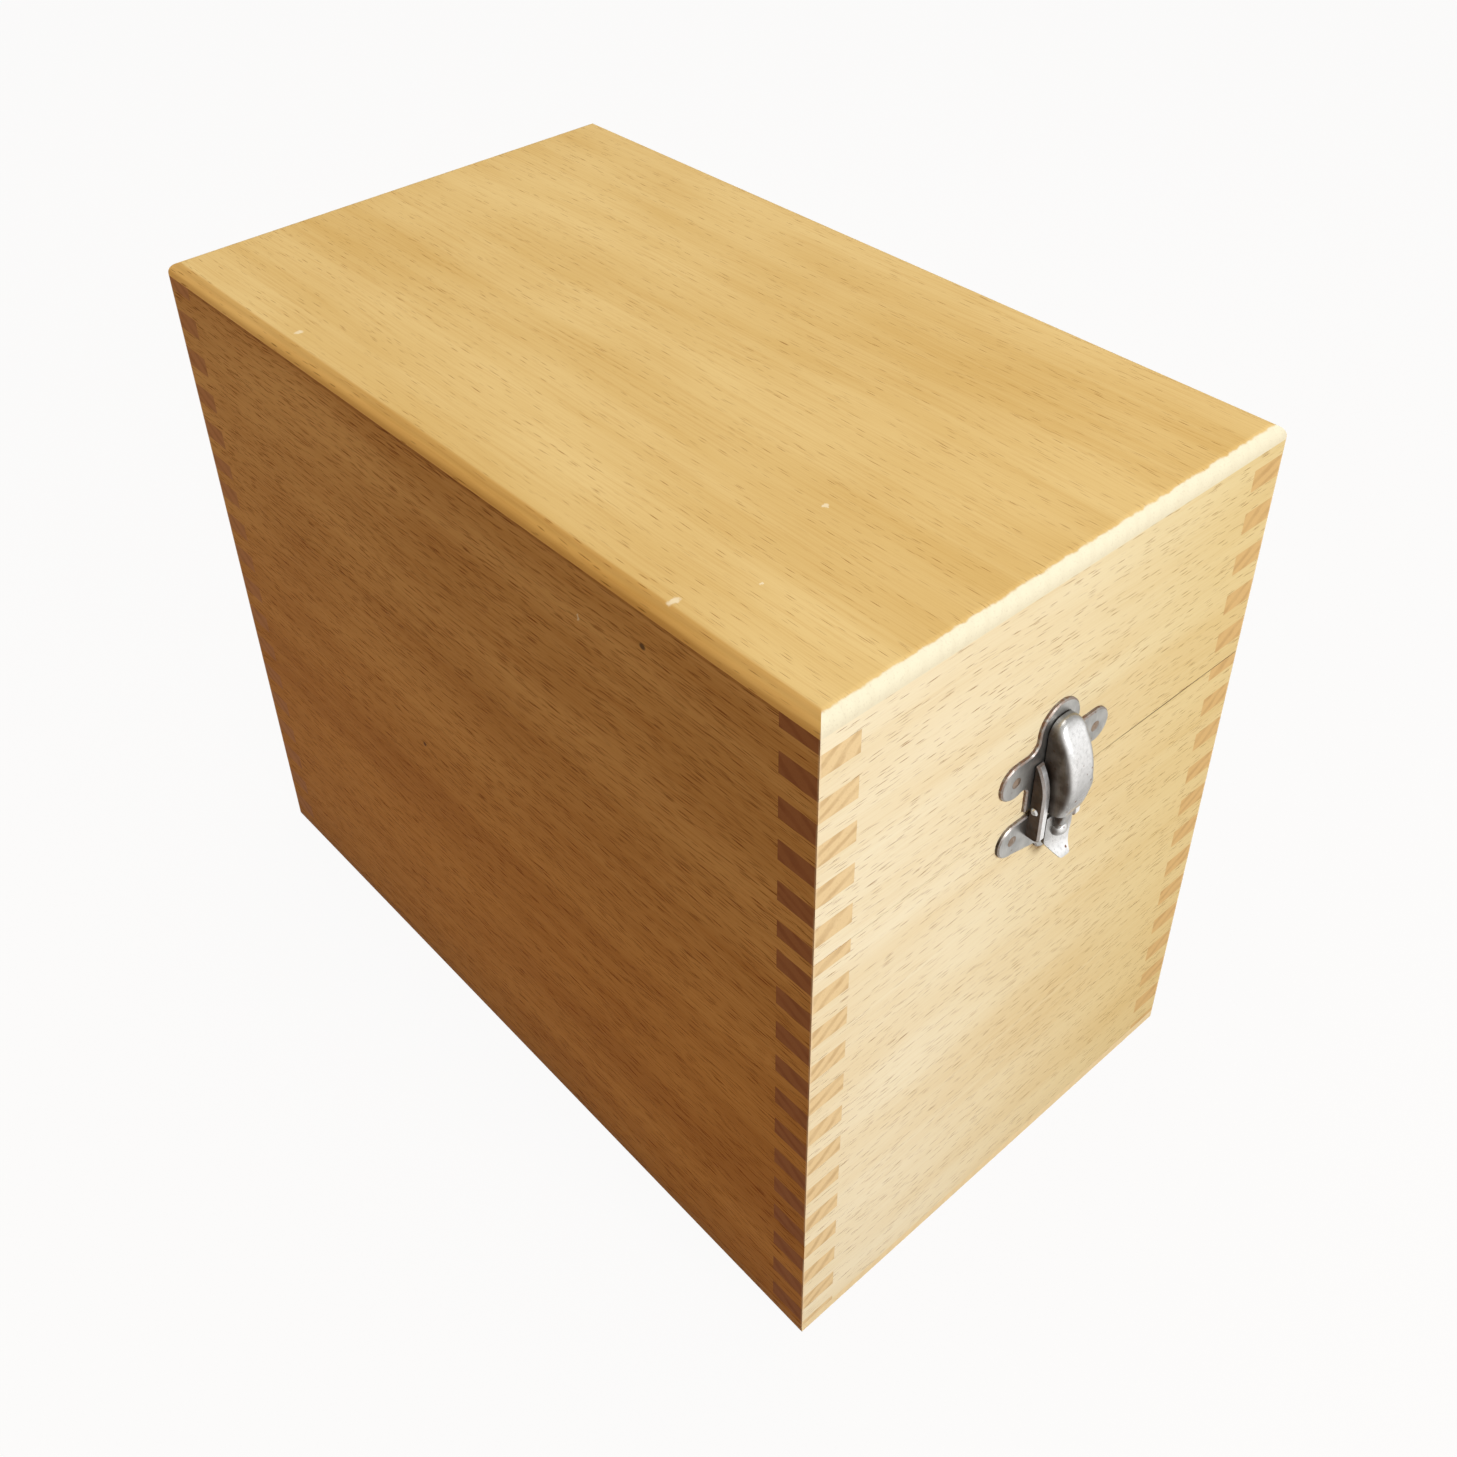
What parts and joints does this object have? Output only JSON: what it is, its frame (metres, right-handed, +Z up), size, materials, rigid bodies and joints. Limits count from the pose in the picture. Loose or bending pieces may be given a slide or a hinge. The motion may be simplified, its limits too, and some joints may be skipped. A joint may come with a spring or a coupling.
{
  "type": "wooden donation box",
  "caption": "Upright finger-jointed beech box with a deep hinged lid and a sprung metal snap latch on its short front, for collecting gifts.",
  "frame": {"origin": "centre of the underside of the bottom board, where the box stands", "axes": "+X to the right across the width, +Y along the depth from the latch at the front to the hinges at the back, +Z up"},
  "size_m": [0.15, 0.271, 0.214],
  "materials": {
    "beech": "oiled, satin, with short dark flecks",
    "latch_steel": "worn nickel plate, browned at the rims",
    "pin_steel": "plain turned steel",
    "spring_steel": "blued strip",
    "nail_steel": "browned",
    "hinge_steel": "worn nickel plate",
    "screw_steel": "worn plate"
  },
  "bodies": {
    "case": {"case_front_panel": "beech", "case_back_panel": "beech", "case_left_panel": "beech", "case_right_panel": "beech", "bottom_board": "beech", "latch_base_plate": "latch_steel", "base_nails": "nail_steel", "latch_pivot_pin": "pin_steel", "latch_spring": "spring_steel", "hinge_left_case_leaf": "hinge_steel", "hinge_right_case_leaf": "hinge_steel", "hinge_left_pin": "pin_steel", "hinge_right_pin": "pin_steel", "hinge_case_screws": "screw_steel"},
    "lid": {"lid_front_panel": "beech", "lid_back_panel": "beech", "lid_left_panel": "beech", "lid_right_panel": "beech", "lid_top_board": "beech", "latch_keeper_plate": "latch_steel", "keeper_nails": "nail_steel", "hinge_left_lid_leaf": "hinge_steel", "hinge_right_lid_leaf": "hinge_steel", "hinge_lid_screws": "screw_steel"},
    "latch_lever": {"latch_lever": "latch_steel"}
  },
  "joints": [
    {"name": "lid_hinge", "type": "hinge", "parent": "case", "child": "lid", "pos_m": [0, 0.131, 0.14684], "axis": [-1, 0, 0], "range_deg": [0, 180]},
    {"name": "latch_rock", "type": "hinge", "parent": "case", "child": "latch_lever", "pos_m": [0, -0.1311, 0.14754], "axis": [1, 0, 0], "range_deg": [0, 12], "stiffness_Nm_per_rad": 0.1, "springref_deg": -28.65, "deforming": ["latch_spring"]}
  ]
}
